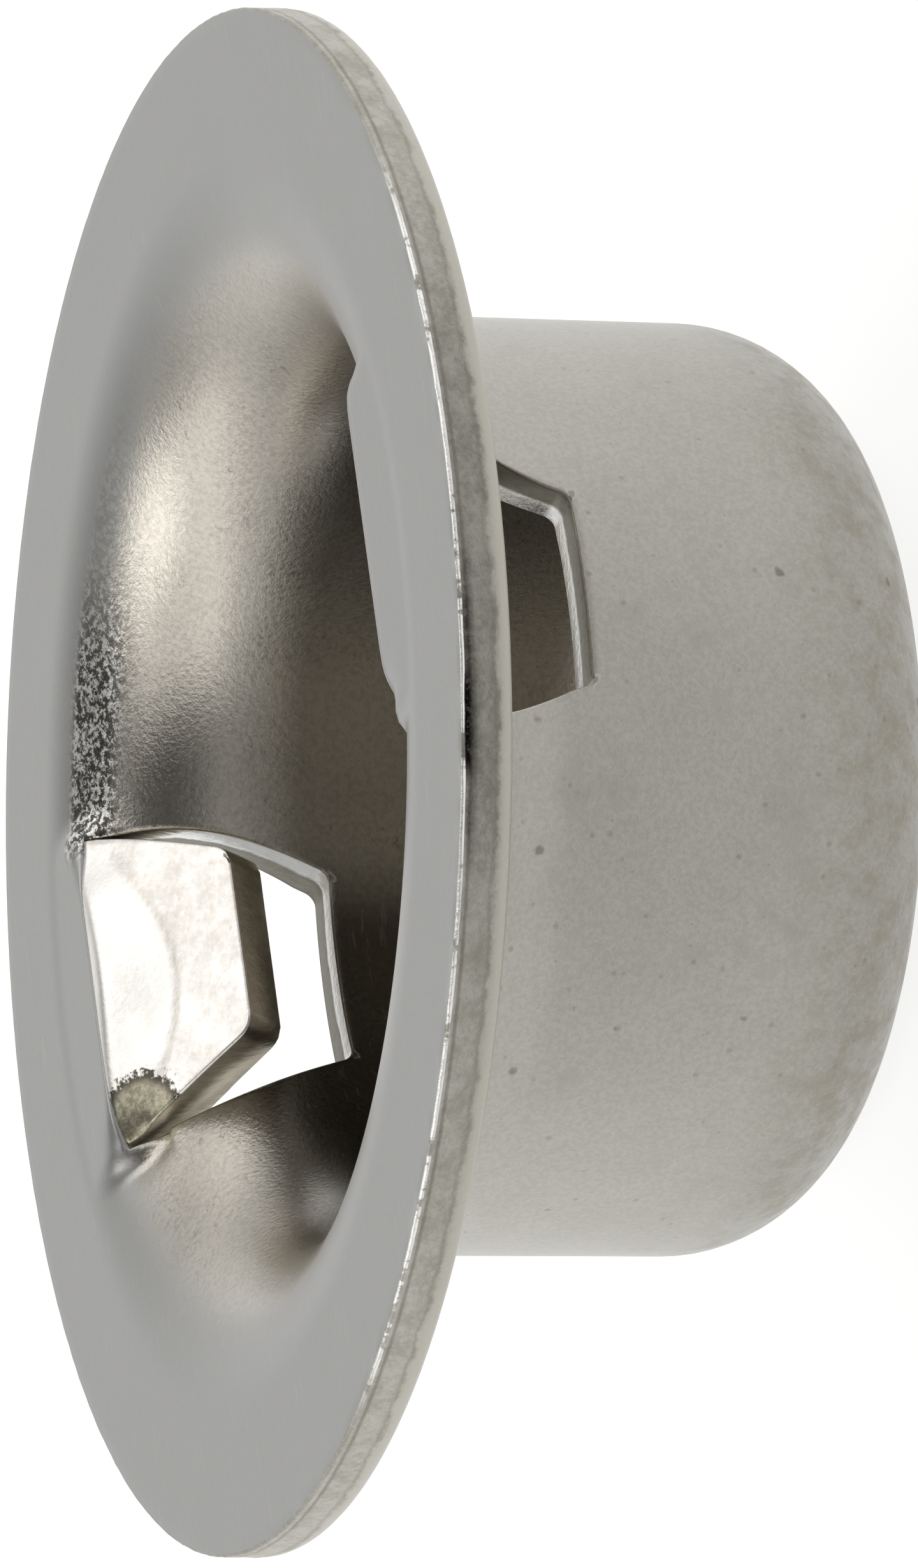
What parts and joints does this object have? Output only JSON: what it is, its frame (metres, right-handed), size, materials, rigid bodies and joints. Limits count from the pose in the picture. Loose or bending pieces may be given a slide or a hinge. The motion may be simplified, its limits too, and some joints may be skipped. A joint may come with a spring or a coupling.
{
  "type": "push-on end cap",
  "caption": "Flanged cup pressed from sheet steel, with a funnel mouth, a flat closed end and inward spring tabs that grip a shaft's end.",
  "frame": {"origin": "centre of the closed end's outer face, which the cap stands on", "axes": "+Z along the cup's axis, out of the mouth; the spring tabs lie on +Y and -Y"},
  "size_m": [0.0254, 0.0254, 0.0102],
  "materials": {
    "satin_plate": "satin nickel-coloured plating with fine pits, rubbed streaks and a sheared rim",
    "bright_plate": "brighter plating where the press tool wiped the spring tabs"
  },
  "bodies": {
    "cap": {"cap_shell": "satin_plate"},
    "tab_a": {"grip_tab_a": "bright_plate"},
    "tab_b": {"grip_tab_b": "bright_plate"}
  },
  "joints": [
    {"name": "tab_a_flex", "type": "hinge", "parent": "cap", "child": "tab_a", "pos_m": [0, 0.00817, 0.00967], "axis": [1, 0, 0], "range_deg": [0, 25], "stiffness_Nm_per_rad": 40},
    {"name": "tab_b_flex", "type": "hinge", "parent": "cap", "child": "tab_b", "pos_m": [0, -0.00817, 0.00967], "axis": [-1, 0, 0], "range_deg": [0, 25], "stiffness_Nm_per_rad": 40}
  ]
}
